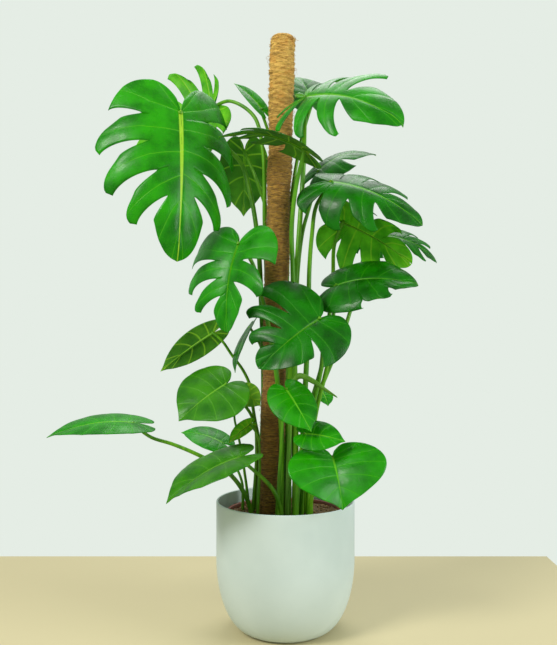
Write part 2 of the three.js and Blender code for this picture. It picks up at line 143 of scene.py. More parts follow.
class Nodes:
    """Adds shader nodes to a tree. An input's value is a number, a colour or another node's output."""

    def __init__(self, tree):
        self.tree = tree

    def add(self, kind, values=None, **settings):
        node = self.tree.nodes.new(kind)
        for name, value in settings.items():
            setattr(node, name, value)
        for name, value in (values or {}).items():
            self.put(node.inputs[name], value)
        return node

    def put(self, socket, value):
        if isinstance(value, bpy.types.NodeSocket):
            self.tree.links.new(value, socket)
        else:
            socket.default_value = value

    def maths(self, operation, first, second=0.0):
        node = self.add("ShaderNodeMath", operation=operation, use_clamp=False)
        self.put(node.inputs[0], first)
        self.put(node.inputs[1], second)
        return node.outputs[0]

    def mix(self, share, first, second, blend="MIX"):
        node = self.add("ShaderNodeMix", data_type="RGBA", blend_type=blend)
        self.put(node.inputs[0], share)
        self.put(node.inputs[6], first)
        self.put(node.inputs[7], second)
        return node.outputs[2]

    def fade(self, value, start, end, low=0.0, high=1.0):
        values = {"Value": value, "From Min": start, "From Max": end, "To Min": low, "To Max": high}
        return self.add("ShaderNodeMapRange", values, interpolation_type="SMOOTHSTEP").outputs[0]

    def noise(self, place, scale, detail=3.0, rough=0.5):
        values = {"Vector": place, "Scale": scale, "Detail": detail, "Roughness": rough}
        return self.add("ShaderNodeTexNoise", values).outputs["Fac"]

    def place(self, scale=(1, 1, 1), turn=(0, 0, 0), kind="Object"):
        coordinates = self.add("ShaderNodeTexCoord").outputs[kind]
        values = {"Vector": coordinates, "Scale": scale, "Rotation": turn}
        return self.add("ShaderNodeMapping", values).outputs[0]

    def attribute(self, name):
        return self.add("ShaderNodeAttribute", attribute_name=name).outputs["Fac"]

    def bump(self, height, strength, distance):
        values = {"Height": height, "Strength": strength, "Distance": distance}
        return self.add("ShaderNodeBump", values).outputs[0]


def new_finish(name, **plain):
    """A material with one Principled shader, whose uniform values are set on its own sockets."""
    finish = bpy.data.materials.new(name)
    finish.use_nodes = True
    nodes = Nodes(finish.node_tree)
    shader = finish.node_tree.nodes["Principled BSDF"]
    for socket, value in plain.items():
        shader.inputs[socket.replace("_", " ")].default_value = value
    return finish, nodes, shader


def new_group(name, inputs, outputs):
    """An empty node group with named inputs (with defaults) and outputs, all single values."""
    group = bpy.data.node_groups.new(name, "ShaderNodeTree")
    for title, value in inputs.items():
        socket = group.interface.new_socket(title, in_out="INPUT", socket_type="NodeSocketFloat")
        socket.default_value = value
    for title in outputs:
        group.interface.new_socket(title, in_out="OUTPUT", socket_type="NodeSocketFloat")
    nodes = Nodes(group)
    return group, nodes, nodes.add("NodeGroupInput").outputs, nodes.add("NodeGroupOutput").inputs


def use_group(nodes, group, **values):
    """Places a group with its own values, such as Rib_Width=0.003, and gives its outputs."""
    node = nodes.add("ShaderNodeGroup")
    node.node_tree = group
    for title, value in values.items():
        nodes.put(node.inputs[title.replace("_", " ")], value)
    return node.outputs


# ---- Materials ----


def vein_group():
    """Masks for a blade's midrib and side veins, and a height that puts the netted small veins on it."""
    inputs = {"Rib Width": 0.003, "Vein Width": 0.0007, "Net Scale": 330.0}
    group, nodes, given, made = new_group("leaf veins", inputs, ["Rib", "Vein", "Net", "Height"])
    along = nodes.attribute("along")
    taper = nodes.fade(along, 0.0, 0.95, 1.0, 0.22)
    width = nodes.maths("MULTIPLY", given["Rib Width"], taper)
    rib_gap = nodes.maths("DIVIDE", nodes.attribute("rib"), width)
    rib = nodes.fade(rib_gap, 0.55, 1.1, 1.0, 0.0)
    run = nodes.fade(nodes.attribute("run"), 0.0, 0.16, 1.25, 0.35)
    vein_width = nodes.maths("MULTIPLY", given["Vein Width"], run)
    vein_gap = nodes.maths("DIVIDE", nodes.attribute("vein"), vein_width)
    vein = nodes.fade(vein_gap, 0.45, 1.6, 1.0, 0.0)
    values = {"Vector": nodes.place(), "Scale": given["Net Scale"]}
    cells = nodes.add("ShaderNodeTexVoronoi", values, feature="DISTANCE_TO_EDGE")
    net = nodes.fade(cells.outputs["Distance"], 0.0, 0.12, 1.0, 0.0)
    height = nodes.maths("SUBTRACT", nodes.maths("MULTIPLY", net, -0.25), nodes.maths("MULTIPLY", vein, 0.8))
    nodes.put(made["Rib"], rib)
    nodes.put(made["Vein"], vein)
    nodes.put(made["Net"], net)
    nodes.put(made["Height"], nodes.maths("ADD", height, nodes.maths("MULTIPLY", rib, 0.5)))
    return group


def blade_top(name, veins, dark, light, vein_green, rib_green, rough):
    """The waxy upper face of a blade: mottled green, with a pale midrib and fine pale side veins."""
    finish, nodes, shader = new_finish(
        name, Coat_Weight=0.04, Coat_Roughness=0.1, Specular_IOR_Level=0.2, Subsurface_Weight=0.15,
        Subsurface_Scale=0.004,
    )
    shader.inputs["Subsurface Radius"].default_value = (0.4, 1.0, 0.15)
    lines = use_group(nodes, veins)
    patches = nodes.fade(nodes.noise(nodes.place(), 26, 4), 0.3, 0.7)
    specks = nodes.fade(nodes.noise(nodes.place(), 420, 2), 0.35, 0.7)
    green = nodes.mix(patches, dark, light)
    green = nodes.mix(nodes.maths("MULTIPLY", specks, 0.16), green, light)
    near = nodes.fade(nodes.attribute("vein"), 0.0, 0.012, 0.32, 0.0)
    green = nodes.mix(near, green, light)
    green = nodes.mix(nodes.maths("MULTIPLY", lines["Net"], 0.12), green, vein_green)
    green = nodes.mix(nodes.maths("MULTIPLY", lines["Vein"], 0.55), green, vein_green)
    green = nodes.mix(lines["Rib"], green, rib_green)
    nodes.put(shader.inputs["Base Color"], green)
    dullness = nodes.fade(nodes.noise(nodes.place(), 60, 3), 0.3, 0.7, rough, rough + 0.12)
    nodes.put(shader.inputs["Roughness"], dullness)
    nodes.put(shader.inputs["Normal"], nodes.bump(lines["Height"], 0.5, 0.0006))
    return finish


def blade_under(name, veins, dark, light):
    """The paler, duller underside, where the veins stand out."""
    finish, nodes, shader = new_finish(
        name, Specular_IOR_Level=0.25, Subsurface_Weight=0.3, Subsurface_Scale=0.004
    )
    shader.inputs["Subsurface Radius"].default_value = (0.4, 1.0, 0.15)
    lines = use_group(nodes, veins, Vein_Width=0.0011, Rib_Width=0.0034)
    green = nodes.mix(nodes.fade(nodes.noise(nodes.place(), 30, 4), 0.3, 0.7), dark, light)
    green = nodes.mix(nodes.maths("MULTIPLY", lines["Net"], 0.2), green, dark)
    green = nodes.mix(nodes.maths("MULTIPLY", lines["Vein"], 0.5), green, RIB_GREEN)
    green = nodes.mix(lines["Rib"], green, RIB_GREEN)
    nodes.put(shader.inputs["Base Color"], green)
    nodes.put(shader.inputs["Roughness"], nodes.fade(nodes.noise(nodes.place(), 80, 3), 0.3, 0.7, 0.42, 0.56))
    raised = nodes.maths("MULTIPLY", lines["Height"], -1.0)
    nodes.put(shader.inputs["Normal"], nodes.bump(raised, 0.5, 0.0007))
    return finish


def stalk_finish(name, low, high, vein):
    """Smooth green petiole skin, streaked along its length and paler where it leaves the soil."""
    finish, nodes, shader = new_finish(name, Specular_IOR_Level=0.3)
    streaks = nodes.fade(nodes.noise(nodes.place((700, 700, 26)), 1.0, 4), 0.35, 0.7)
    flecks = nodes.fade(nodes.noise(nodes.place((900, 900, 420)), 1.0, 2), 0.62, 0.72)
    height = nodes.add("ShaderNodeSeparateXYZ", {"Vector": nodes.place()}).outputs["Z"]
    rise = nodes.fade(height, 0.2, 0.6)
    shaded = nodes.fade(nodes.noise(nodes.place((75, 75, 5)), 1.0, 2), 0.42, 0.62, 0.0, 0.6)
    green = nodes.mix(shaded, nodes.mix(rise, low, high), vein)
    green = nodes.mix(nodes.maths("MULTIPLY", streaks, 0.4), green, vein)
    green = nodes.mix(nodes.maths("MULTIPLY", flecks, 0.35), green, RIB_GREEN)
    nodes.put(shader.inputs["Base Color"], green)
    nodes.put(shader.inputs["Roughness"], nodes.fade(streaks, 0, 1, 0.34, 0.46))
    nodes.put(shader.inputs["Normal"], nodes.bump(streaks, 0.25, 0.0004))
    return finish


def planter_finish():
    """Pale, faintly green matt plastic with a very fine moulded texture."""
    finish, nodes, shader = new_finish("planter_matt")
    shader.inputs["Specular IOR Level"].default_value = 0.42
    grain = nodes.noise(nodes.place(), 900, 3, 0.6)
    broad = nodes.noise(nodes.place(), 9, 3)
    tone = nodes.mix(nodes.fade(broad, 0.3, 0.7), srgb(194, 209, 206), srgb(202, 216, 213))
    specks = nodes.fade(nodes.noise(nodes.place(), 520, 2), 0.66, 0.74)
    tone = nodes.mix(nodes.maths("MULTIPLY", specks, 0.10), tone, srgb(164, 178, 168))
    nodes.put(shader.inputs["Base Color"], tone)
    nodes.put(shader.inputs["Roughness"], nodes.fade(grain, 0.3, 0.7, 0.44, 0.54))
    nodes.put(shader.inputs["Normal"], nodes.bump(grain, 0.12, 0.0003))
    return finish


def nursery_finish():
    """Terracotta-brown plastic, scuffed, with patches of dried compost dust."""
    finish, nodes, shader = new_finish("nursery_plastic")
    scuffs = nodes.fade(nodes.noise(nodes.place((40, 40, 260)), 1.0, 5, 0.65), 0.45, 0.7)
    dust = nodes.fade(nodes.noise(nodes.place(), 55, 4), 0.42, 0.68)
    tone = nodes.mix(scuffs, srgb(128, 62, 44), srgb(158, 84, 60))
    tone = nodes.mix(nodes.maths("MULTIPLY", dust, 0.45), tone, srgb(96, 74, 56))
    nodes.put(shader.inputs["Base Color"], tone)
    nodes.put(shader.inputs["Roughness"], nodes.fade(scuffs, 0, 1, 0.42, 0.6))
    nodes.put(shader.inputs["Normal"], nodes.bump(scuffs, 0.15, 0.0004))
    return finish


def compost_finish(name, dark, light):
    """Moist fibrous compost: dark crumbs with lighter bark and root fibres."""
    finish, nodes, shader = new_finish(name)
    crumbs = nodes.noise(nodes.place(), 260, 6, 0.7)
    fibres = nodes.fade(nodes.noise(nodes.place((160, 900, 500), (0.3, 0.2, 0.8)), 1.0, 3), 0.62, 0.72)
    tone = nodes.mix(nodes.fade(crumbs, 0.35, 0.68), dark, light)
    tone = nodes.mix(nodes.maths("MULTIPLY", fibres, 0.5), tone, srgb(150, 118, 78))
    nodes.put(shader.inputs["Base Color"], tone)
    nodes.put(shader.inputs["Roughness"], nodes.fade(crumbs, 0.3, 0.7, 0.75, 0.98))
    nodes.put(shader.inputs["Normal"], nodes.bump(crumbs, 0.8, 0.0025))
    return finish


def coir_finish(name, lift):
    """Coconut fibre wound round the pole: golden and lighter at the top, browner and darker lower down."""
    finish, nodes, shader = new_finish(name, Sheen_Weight=0.08, Sheen_Roughness=0.5)
    place = nodes.place()
    height = nodes.add("ShaderNodeSeparateXYZ", {"Vector": place}).outputs["Z"]
    strands = nodes.noise(nodes.place((70, 70, 1500), (0.10, 0.05, 0)), 1.0, 4, 0.6)
    crossing = nodes.noise(nodes.place((90, 90, 1300), (-0.35, 0.28, 0)), 1.0, 3, 0.6)
    tufts = nodes.noise(place, 45, 4, 0.6)
    level = nodes.maths("ADD", height, nodes.maths("MULTIPLY", tufts, 0.12))
    # The share of the topmost band, which is coloured lighter and more golden than the pole lower down.
    top_band = nodes.fade(level, 0.9, 1.06)
    middling = nodes.fade(level, 0.45, 0.9)
    light = nodes.mix(top_band, nodes.mix(middling, srgb(184, 136, 54), srgb(194, 148, 54)), srgb(248, 204, 102))
    dark = nodes.mix(top_band, nodes.mix(middling, srgb(84, 54, 16), srgb(90, 62, 16)), srgb(160, 110, 34))
    thread = nodes.fade(nodes.maths("MAXIMUM", strands, crossing), 0.42, 0.66)
    tone = nodes.mix(thread, dark, light)
    rusty = nodes.fade(tufts, 0.52, 0.66, 0.0, 0.5)
    tone = nodes.mix(rusty, tone, nodes.mix(top_band, srgb(124, 76, 18), srgb(206, 138, 44)))
    nodes.put(shader.inputs["Base Color"], nodes.mix(lift, tone, srgb(226, 190, 120)))
    shader.inputs["Roughness"].default_value = 0.85
    nodes.put(shader.inputs["Normal"], nodes.bump(nodes.maths("ADD", strands, crossing), 0.9, 0.0016))
    return finish


def wood_finish():
    """Pale softwood with its grain along the pole."""
    finish, nodes, shader = new_finish("pole_softwood")
    grain = nodes.noise(nodes.place((420, 420, 9)), 1.0, 5, 0.6)
    tone = nodes.mix(nodes.fade(grain, 0.35, 0.68), srgb(150, 110, 68), srgb(196, 158, 108))
    nodes.put(shader.inputs["Base Color"], tone)
    nodes.put(shader.inputs["Roughness"], nodes.fade(grain, 0.3, 0.7, 0.6, 0.8))
    nodes.put(shader.inputs["Normal"], nodes.bump(grain, 0.3, 0.0006))
    return finish


RIB_GREEN = srgb(160, 208, 48)
VEINS = vein_group()
TOPS = {
    "old": blade_top(
        "blade_mature", VEINS, srgb(3, 66, 0), srgb(18, 112, 0), srgb(54, 138, 16), srgb(84, 160, 28), 0.24
    ),
    "grand": blade_top(
        "blade_largest", VEINS, srgb(8, 100, 0), srgb(36, 150, 0), srgb(88, 178, 18), RIB_GREEN, 0.24
    ),
    "mid": blade_top(
        "blade_fresh", VEINS, srgb(8, 98, 0), srgb(34, 146, 0), srgb(66, 164, 12), srgb(98, 180, 30), 0.24
    ),
    "new": blade_top(
        "blade_young", VEINS, srgb(26, 98, 0), srgb(58, 134, 4), srgb(80, 152, 20), srgb(108, 172, 40), 0.28
    ),
}
UNDERS = {
    "old": blade_under("underside_mature", VEINS, srgb(44, 100, 6), srgb(76, 136, 20)),
    "grand": blade_under("underside_largest", VEINS, srgb(58, 140, 4), srgb(96, 178, 24)),
    # The fresh underside is paler green by nature, and its greens are also raised to paint the light that
    # shines through the blade.
    "mid": blade_under("underside_fresh_painted_through_light", VEINS, srgb(58, 146, 2), srgb(108, 192, 26)),
    "new": blade_under("underside_young", VEINS, srgb(88, 150, 26), srgb(132, 186, 50)),
}
STALK = stalk_finish("petiole_skin", srgb(104, 166, 24), srgb(98, 164, 18), srgb(50, 120, 6))
YOUNG_STALK = stalk_finish("new_leaf_skin", srgb(120, 172, 58), srgb(112, 170, 52), srgb(84, 146, 40))


# ---- Petioles ----


def stalk_rings(node):
    """The centres and radii of a CAD petiole's rings, from its foot in the soil to its end."""
    bm = bmesh.new()
    bm.from_mesh(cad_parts[node].data)
    bmesh.ops.remove_doubles(bm, verts=bm.verts, dist=1e-5)
    bm.verts.ensure_lookup_table()
    bm.verts.index_update()
    foot = min(vert.co.z for vert in bm.verts) + 2 * MM
    layer = sorted(vert.index for vert in bm.verts if vert.co.z < foot)
    seen = set(layer)
    rings = []
    while layer:
        if len(layer) > 2:
            places = [bm.verts[i].co.copy() for i in layer]
            centre = sum(places, Vector()) / len(places)
            rings.append((centre, max((place - centre).length for place in places)))
        reached = {edge.other_vert(bm.verts[i]).index for i in layer for edge in bm.verts[i].link_edges}
        layer = sorted(reached - seen)
        seen |= reached
    bm.free()
    return [centre for centre, _ in rings], [radius for _, radius in rings]


def stalk_path(centres, radii, end):
    """A finer path up a petiole, with a swollen foot and the swollen joint just below its blade."""
    points = centres + [end]
    length = sum((b - a).length for a, b in zip(points, points[1:]))
    count = max(12, int(length / (6 * MM)))
    places, widths = [], []
    for step in range(count + 1):
        share = step / count
        at = share * (len(radii) - 1)
        i = min(int(at), len(radii) - 2)
        radius = radii[i] + (radii[i + 1] - radii[i]) * (at - i)
        to_go = (1 - share) * length
        joint = 0.22 * math.exp(-(((to_go - 12 * MM) / (11 * MM)) ** 2))
        places.append(spline(points, share))
        widths.append(radius * (1 + joint))
    return places, widths


# ---- Blades ----

# Half of a blade's outline, from the petiole round the ear to the tip: [forward, sideways], as shares of the
# length and of half the width. A blade with slits is broader towards its tip than a whole one.
OUTLINES = {
    "whole": [
        (0, 0), (-0.13, 0.08), (-0.23, 0.3), (-0.17, 0.64), (0.04, 0.92),
        (0.3, 1), (0.56, 0.85), (0.78, 0.5), (0.91, 0.17), (1, 0),
    ],
    "split": [
        (0, 0), (-0.13, 0.08), (-0.23, 0.3), (-0.18, 0.63), (0.03, 0.91),
        (0.34, 1), (0.62, 0.8), (0.82, 0.46), (0.95, 0.18), (1, 0),
    ],
}
# Side veins that meet the outline before FAN all leave the petiole, and the rest leave the midrib.
FAN, LAST_VEIN, STEEPER, VEIN_BOW = 0.38, 0.86, 1.1, 0.18
SLIT_WIDTH = 0.036  # half a slit's opening at the outline, as a share of the outline
LOBE_HOOK = 0.024  # how far a lobe's end hooks towards the tip
VEIN_SPACING = 0.13  # between side veins, as a share of the outline
QUILTING, QUILT_REACH = 1.5 * MM, 7 * MM  # how far a blade swells between veins, and over what distance
EDGE_DROP = 5 * MM  # how far a lobe's edges bend down beside a slit
RIPPLE, RIPPLE_SIZE = 3.5 * MM, 0.07  # the blade's broad waves, and the distance that they change over
CRINKLE, CRINKLE_SIZE = 1.2 * MM, 0.02  # the finer waves along its outline
RIB_GROOVE, GROOVE_WIDTH = 0.9 * MM, 3.2 * MM  # the channel that the midrib lies in
PLATE = 0.9 * MM  # a blade's thickness
STALK_GAP = 1.1 * MM  # from a blade's middle to the end of its CAD petiole

# Each blade as in the CAD model: its midrib's bearing (0 is +X, 90 is away from the front) and dip below the
# level, its roll, length and half widths in millimetres, its arch, and for its left and right halves the
# folds, droops and slits. Where a blade differs from the usual, `cuts` say how near the midrib each slit
# starts, as shares of the half width there, and `gap` is half a slit's opening. `age` chooses its greens.
BLADES = {
    "01": dict(
        bearing=265, dip=84, roll=-23, length=260, half=(150, 150), arch=0.08, fold=(-15, 9), droop=(45, 49),
        slits=((0.43, 0.55, 0.66, 0.76), (0.44, 0.56, 0.67, 0.77)),
        cuts=((0.45, 0.36, 0.35, 0.33), (0.5, 0.4, 0.36, 0.34)), gap=0.03, age="grand",
    ),
    "02": dict(
        bearing=165, dip=25, roll=105, length=170, half=(115, 110), arch=0.08, fold=(5, 5), droop=(25, 40),
        slits=((0.3, 0.44, 0.58, 0.72), (0.42, 0.55, 0.68, 0.8)), gap=0.044, age="mid",
    ),
    "03": dict(
        bearing=227, dip=80, roll=-12, length=155, half=(96, 124), arch=0.1, fold=(25, 15), droop=(39, 60),
        slits=((0.55, 0.7), (0.55, 0.68, 0.8)), cuts=((0.3, 0.26), (0.28, 0.25, 0.24)), gap=0.044, age="mid",
    ),
    "04": dict(
        bearing=195, dip=38, roll=-60, length=135, half=(85, 120), arch=0.1, fold=(30, 5), droop=(60, 30),
        slits=((0.6,), (0.58, 0.7, 0.82)), cuts=((0.36,), (0.34, 0.28, 0.28)), gap=0.03, age="old",
    ),
    "05": dict(
        bearing=330, dip=20, roll=42, length=190, half=(120, 88), arch=0.12, fold=(10, 0), droop=(42, 50),
        slits=((0.28, 0.42, 0.55, 0.68), (0.28, 0.42, 0.55, 0.68)),
        cuts=((0.12, 0.13, 0.15, 0.17), (0.12, 0.13, 0.15, 0.17)), gap=0.05, age="mid",
    ),
    "06": dict(
        bearing=180, dip=-9, roll=10, length=150, half=(58, 38), arch=0.12, fold=(0, 0), droop=(22, 35),
        slits=((0.6, 0.76), (0.56, 0.7, 0.82)), age="old",
    ),
    "07": dict(
        bearing=345, dip=27, roll=40, length=178, half=(90, 90), arch=0.1, fold=(0, 0), droop=(45, 70),
        slits=((0.45, 0.6, 0.75), (0.42, 0.58, 0.72)), gap=0.042, age="old",
    ),
    "08": dict(
        bearing=22, dip=-18, roll=22, length=132, half=(50, 50), arch=0.14, fold=(5, 5), droop=(40, 40),
        slits=((0.62,), (0.62,)), age="old",
    ),
    "09": dict(
        bearing=345, dip=32, roll=-60, length=146, half=(92, 92), arch=0.08, fold=(5, 0), droop=(30, 70),
        slits=((0.45, 0.6, 0.75), (0.45, 0.6, 0.75)), age="mid",
    ),
    "10": dict(
        bearing=355, dip=23, roll=37, length=133, half=(68, 64), arch=0.15, fold=(5, 5), droop=(40, 40),
        slits=((0.4, 0.55, 0.7, 0.82), (0.4, 0.55, 0.7, 0.82)), age="old",
    ),
    "11": dict(
        bearing=344, dip=0, roll=38, length=145, half=(82, 76), arch=0.1, fold=(15, 15), droop=(50, 50),
        slits=((0.7,), (0.6, 0.75)), cuts=((0.78,), (0.82, 0.74)), age="old",
    ),
    "12": dict(
        bearing=95, dip=75, roll=2, length=124, half=(48, 48), arch=0.08, fold=(8, 8), droop=(30, 30),
        age="old",
    ),
    "13": dict(
        bearing=202, dip=36, roll=-40, length=105, half=(75, 75), arch=0.06, fold=(25, 5), droop=(35, 35),
        age="new",
    ),
    "14": dict(
        bearing=315, dip=49, roll=34, length=89, half=(42, 42), arch=0.06, fold=(-10, 5), droop=(22, 25),
        age="mid",
    ),
    "15": dict(
        bearing=288, dip=60, roll=5, length=92, half=(86, 86), arch=0.08, fold=(30, 15), droop=(20, 15),
        age="mid",
    ),
    "16": dict(
        bearing=348, dip=9, roll=42, length=71, half=(33, 33), arch=0.06, fold=(8, 8), droop=(25, 25),
        age="mid",
    ),
    "17": dict(
        bearing=190, dip=9, roll=-14, length=151, half=(50, 50), arch=0.08, fold=(8, 8), droop=(25, 25),
        age="mid",
    ),
    "18": dict(
        bearing=196, dip=30, roll=-14, length=145, half=(75, 75), arch=0.08, fold=(25, 15), droop=(30, 45),
        age="new",
    ),
    "19": dict(
        bearing=192, dip=36, roll=80, length=118, half=(28, 28), arch=0.08, fold=(10, 10), droop=(20, 20),
        age="old",
    ),
    "20": dict(
        bearing=239, dip=60, roll=40, length=92, half=(30, 30), arch=0.06, fold=(10, 10), droop=(20, 20),
        age="old",
    ),
    "21": dict(
        bearing=166, dip=-11, roll=-22, length=84, half=(36, 36), arch=0.09, fold=(8, 8), droop=(25, 25),
        age="mid",
    ),
    "22": dict(
        bearing=195, dip=40, roll=47, length=51, half=(22, 22), arch=0.06, fold=(12, 12), droop=(20, 20),
        age="mid",
    ),
    "23": dict(
        bearing=0, dip=40, roll=-78, length=42, half=(23, 23), arch=0.03, fold=(10, 10), droop=(20, 20),
        age="new",
    ),
    "24": dict(
        bearing=113, dip=-50, roll=-2, length=85, half=(55, 55), arch=0.06, fold=(10, 10), droop=(20, 20),
        age="old",
    ),
    "25": dict(
        bearing=151, dip=-43, roll=-29, length=83, half=(17, 17), arch=0.06, fold=(15, 15), droop=(20, 20),
        age="mid",
    ),
    "26": dict(
        bearing=304, dip=53, roll=2, length=31, half=(19, 19), arch=0.06, fold=(8, 8), droop=(20, 20),
        age="mid",
    ),
}


class Blade:
    """One blade's shape. A place on it is a share along the outline and a share out from the midrib."""

    def __init__(self, name, base, facts):
        self.name = name
        self.base = base
        self.facts = facts
        self.length = facts["length"] * MM
        self.half = [width * MM for width in facts["half"]]
        self.seed = int(name)
        self.split = "slits" in facts
        self.outline = [Vector(place) for place in OUTLINES["split" if self.split else "whole"]]
        self.gap = facts.get("gap", SLIT_WIDTH)
        self.step = 0.01 if self.split else 0.02
        self.rows = 34 if self.split else 22
        bearing, dip = math.radians(facts["bearing"]), math.radians(facts["dip"])
        self.along = Vector(
            (math.cos(bearing) * math.cos(dip), math.sin(bearing) * math.cos(dip), -math.sin(dip))
        )
        face = Vector((math.cos(bearing) * math.sin(dip), math.sin(bearing) * math.sin(dip), math.cos(dip)))
        self.face = Matrix.Rotation(math.radians(facts["roll"]), 3, self.along) @ face
        self.right = self.along.cross(self.face)
        self.lobes = [lobe for side in (0, 1) for lobe in self.lobes_of(side)]

    def lobes_of(self, side):
        """The lobes of one half, with the cut of the slit on each side of each."""
        slits = self.facts["slits"][side] if self.split else ()
        cuts = self.facts["cuts"][side] if "cuts" in self.facts else [0.5 - 0.2 * slit for slit in slits]
        breaks = [0, *slits, 1]
        chance = random.Random(f"{self.name}-{side}")
        lobes = []
        for i in range(len(breaks) - 1):
            start, end = breaks[i], breaks[i + 1]
            veins = max(1, round((end - start) / VEIN_SPACING))
            places = [start + (end - start) * (k + 0.5) / veins for k in range(veins)]
            lobes.append(
                dict(
                    side=side,
                    start=start,
                    end=end,
                    before=cuts[i - 1] if i > 0 else None,
                    after=cuts[i] if end < 1 else None,
                    veins=[round((place - start) / self.step) * self.step for place in places],
                    lift=chance.uniform(-9, 3) * MM if slits else 0,
                )
            )
        return lobes

    def vein_start(self, along):
        """How far along the midrib the vein that meets the outline here leaves it."""
        return LAST_VEIN * max(0, (along - FAN) / (1 - FAN)) ** STEEPER

    def bent(self, side, forward, sideways, raised=0.0):
        """A flat place, [forward, sideways] as shares, where the blade's arch, fold and droop take it."""
        half = self.half[side]
        fold = math.radians(self.facts["fold"][side])
        turn = math.radians(self.facts["droop"][side]) / half
        run = sideways * half
        across = (math.sin(fold) - math.sin(fold - turn * run)) / turn
        lift = (math.cos(fold - turn * run) - math.cos(fold)) / turn
        arch = 4 * self.facts["arch"] * self.length * forward * (1 - forward)
        sign = 1 if side else -1
        return (
            self.base
            + self.along * (forward * self.length)
            + self.right * (sign * across)
            + self.face * (lift + arch + raised)
        )

    def flat(self, lobe, share, out):
        """The flat place of a share across a lobe and a share out along its veins."""
        middle = lobe["start"] + (lobe["end"] - lobe["start"]) * share
        reach = out
        if lobe["before"] is not None:
            past = max(0, (out - lobe["before"]) / (1 - lobe["before"]))
            middle += (1 - share) * self.gap * (0.5 * past**0.5 + 0.5 * past)
            reach -= 0.3 * max(0, 1 - share / 0.8) ** 2 * past**3
        if lobe["after"] is not None:
            past = max(0, (out - lobe["after"]) / (1 - lobe["after"]))
            middle -= share * self.gap * (0.5 * past**0.5 + 0.5 * past)
            middle += LOBE_HOOK * share**2 * past**3
            reach -= 0.06 * max(0, share / 0.2 - 4) * past**6
        rim = spline(self.outline, middle)
        start = self.vein_start(middle)
        bow = VEIN_BOW * rim.y * reach * (1 - reach) * min(1, start * 4)
        return start + (rim.x - start) * reach - bow, rim.y * reach

    def corner(self, lobe, share, out):
        """A corner of the finished surface and its distances from the veins."""
        side = lobe["side"]
        forward, sideways = self.flat(lobe, share, out)
        plain = self.bent(side, forward, sideways)
        span = lobe["end"] - lobe["start"]
        nearest = min(lobe["veins"], key=lambda vein: abs(vein - share * span))
        on_vein = self.bent(side, *self.flat(lobe, nearest / span, out))
        vein = (plain - on_vein).length
        rib = math.hypot(sideways * self.half[side], min(0, forward) * self.length)
        foot = self.vein_start(lobe["start"] + span * share)
        run = (plain - self.bent(side, foot, 0)).length
        cuts = [cut for cut in (lobe["before"], lobe["after"]) if cut is not None]
        past = max(0, (out - min(cuts)) / (1 - min(cuts))) if cuts else 0
        size = min(1, self.half[side] / 0.12)
        crown = 0
        if lobe["before"] is not None:
            crown += max(0, 1 - 2 * share) ** 2
        if lobe["after"] is not None:
            crown += max(0, 2 * share - 1) ** 2
        raised = (
            QUILTING * size * (1 - math.exp(-vein / QUILT_REACH)) * min(1, out * 3)
            - EDGE_DROP * size * crown * past
            + lobe["lift"] * size * past**2
            + RIPPLE * size * out * wobble(plain, RIPPLE_SIZE, self.seed)
            + CRINKLE * size * out**4 * wobble(plain, CRINKLE_SIZE, self.seed + 50)
            - RIB_GROOVE * math.exp(-((rib / GROOVE_WIDTH) ** 2)) * size
        )
        rib /= min(1.6, max(0.7, self.length / 0.17))
        return self.bent(side, forward, sideways, raised), vein, rib, run, forward


def blade_mesh(blade):
    """The blade's upper face as a fine sheet, one grid for each lobe, joined where no slit parts them."""
    bm = bmesh.new()
    layers = [bm.verts.layers.float.new(name) for name in ("vein", "rib", "run", "along")]
    for lobe in blade.lobes:
        columns = round((lobe["end"] - lobe["start"]) / blade.step)
        made = bmesh.ops.create_grid(bm, x_segments=columns, y_segments=blade.rows, size=0.5)["verts"]
        for vert in made:
            share, out = vert.co.x + 0.5, vert.co.y + 0.5
            vert.co, *facts = blade.corner(lobe, share, out)
            for layer, fact in zip(layers, facts):
                vert[layer] = fact
        if lobe["side"] == 0:
            faces = {face for vert in made for face in vert.link_faces}
            bmesh.ops.reverse_faces(bm, faces=sorted(faces, key=lambda face: face.index))
    bmesh.ops.remove_doubles(bm, verts=bm.verts, dist=2e-5)
    bm.normal_update()
    facing = sum((face.normal * face.calc_area() for face in bm.faces), Vector())
    if facing.dot(blade.face) < 0:
        bmesh.ops.reverse_faces(bm, faces=bm.faces)
    return mesh_from(bm, f"blade_{blade.name}")


def make_leaf(name, facts):
    """A blade and its petiole, built on their CAD nodes."""
    centres, radii = stalk_rings(f"leaf_{name}_petiole")
    blade = Blade(name, Vector(), facts)
    blade.base = centres[-1] + blade.face * (STALK_GAP + radii[-1])
    age = facts["age"]
    piece = add_piece(
        f"blade_{name}", blade_mesh(blade), "leaf_blade", [TOPS[age], UNDERS[age]], f"leaf_{name}_blade"
    )
    plate = piece.modifiers.new("thickness", "SOLIDIFY")
    plate.thickness = PLATE
    plate.offset = 0
    plate.material_offset = 1
    plate.material_offset_rim = 0
    end = blade.base - blade.face * 0.6 * MM
    path = stalk_path(centres, radii, end)
    ridge_radii = [radii[-1] * share for share in (0.8, 0.62, 0.5, 0.38, 0.27, 0.12)]
    ridge_places = [
        blade.bent(0, share, 0, -0.9 * radius - 0.6 * MM)
        for share, radius in zip((0.01, 0.1, 0.25, 0.45, 0.65, 0.85), ridge_radii)
    ]
    fine = [k / 24 for k in range(25)]
    ridge = (
        [spline(ridge_places, share) for share in fine],
        [spline([Vector((r, 0)) for r in ridge_radii], share).x for share in fine],
    )
    add_piece(
        f"petiole_{name}", tubes([path, ridge], 4), "petiole", [STALK], f"leaf_{name}_petiole"
    )


